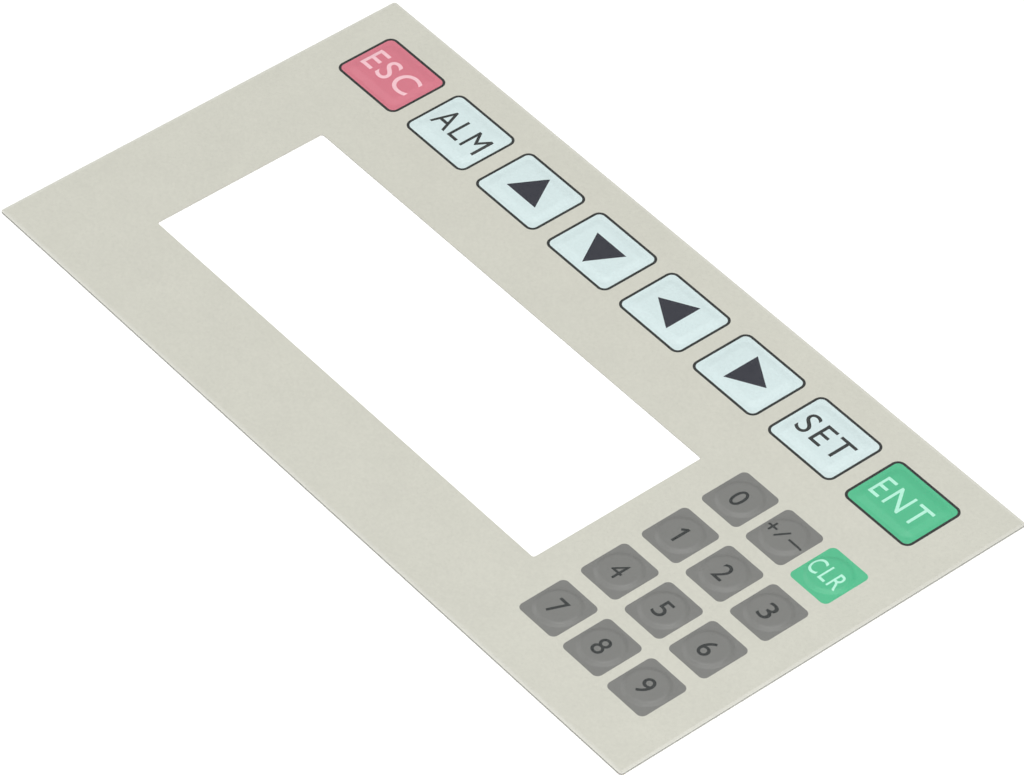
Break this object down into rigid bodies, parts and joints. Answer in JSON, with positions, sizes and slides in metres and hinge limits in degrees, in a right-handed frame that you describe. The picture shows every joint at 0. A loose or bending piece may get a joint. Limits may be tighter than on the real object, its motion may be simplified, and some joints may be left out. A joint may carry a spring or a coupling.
{
  "type": "membrane keypad",
  "caption": "Thin laminated membrane keypad with a clear display window, a row of outlined function keys and a block of domed number keys.",
  "frame": {"origin": "middle of the back of the sheet, on the surface that it lies on", "axes": "+X along the row of function keys from escape to enter, +Y across the sheet towards that row, +Z out of the printed face"},
  "size_m": [0.164, 0.086, 0.0007],
  "materials": {
    "clear_film": "clear film with a fine satin face",
    "ground_ink": "screen-printed warm pale grey ink",
    "outline_ink": "screen-printed near-black ink",
    "mark_ink": "screen-printed dark grey ink",
    "red_ink": "screen-printed soft red ink",
    "pale_ink": "screen-printed pale blue-grey ink",
    "green_ink": "screen-printed green ink",
    "grey_ink": "screen-printed middle grey ink",
    "tape_film": "thin milky polyester tape",
    "adhesive": "pressure-sensitive acrylic adhesive",
    "liner_paper": "smooth siliconised paper",
    "dome_steel": "bright rolled spring steel"
  },
  "bodies": {
    "root": {"overlay_film": "clear_film", "ground_ink": "ground_ink", "key_outlines": "outline_ink", "arrow_marks": "mark_ink", "red_key_ink": "red_ink", "pale_key_ink": "pale_ink", "green_key_ink": "green_ink", "grey_key_ink": "grey_ink", "carrier_tape": "tape_film", "rear_adhesive": "adhesive", "release_liner": "liner_paper", "dome_escape": "dome_steel", "dome_alarm": "dome_steel", "dome_up": "dome_steel", "dome_down": "dome_steel", "dome_left": "dome_steel", "dome_right": "dome_steel", "dome_set": "dome_steel", "dome_enter": "dome_steel", "dome_0": "dome_steel", "dome_sign": "dome_steel", "dome_clear": "dome_steel", "dome_1": "dome_steel", "dome_2": "dome_steel", "dome_3": "dome_steel", "dome_4": "dome_steel", "dome_5": "dome_steel", "dome_6": "dome_steel", "dome_7": "dome_steel", "dome_8": "dome_steel", "dome_9": "dome_steel"}
  },
  "joints": []
}
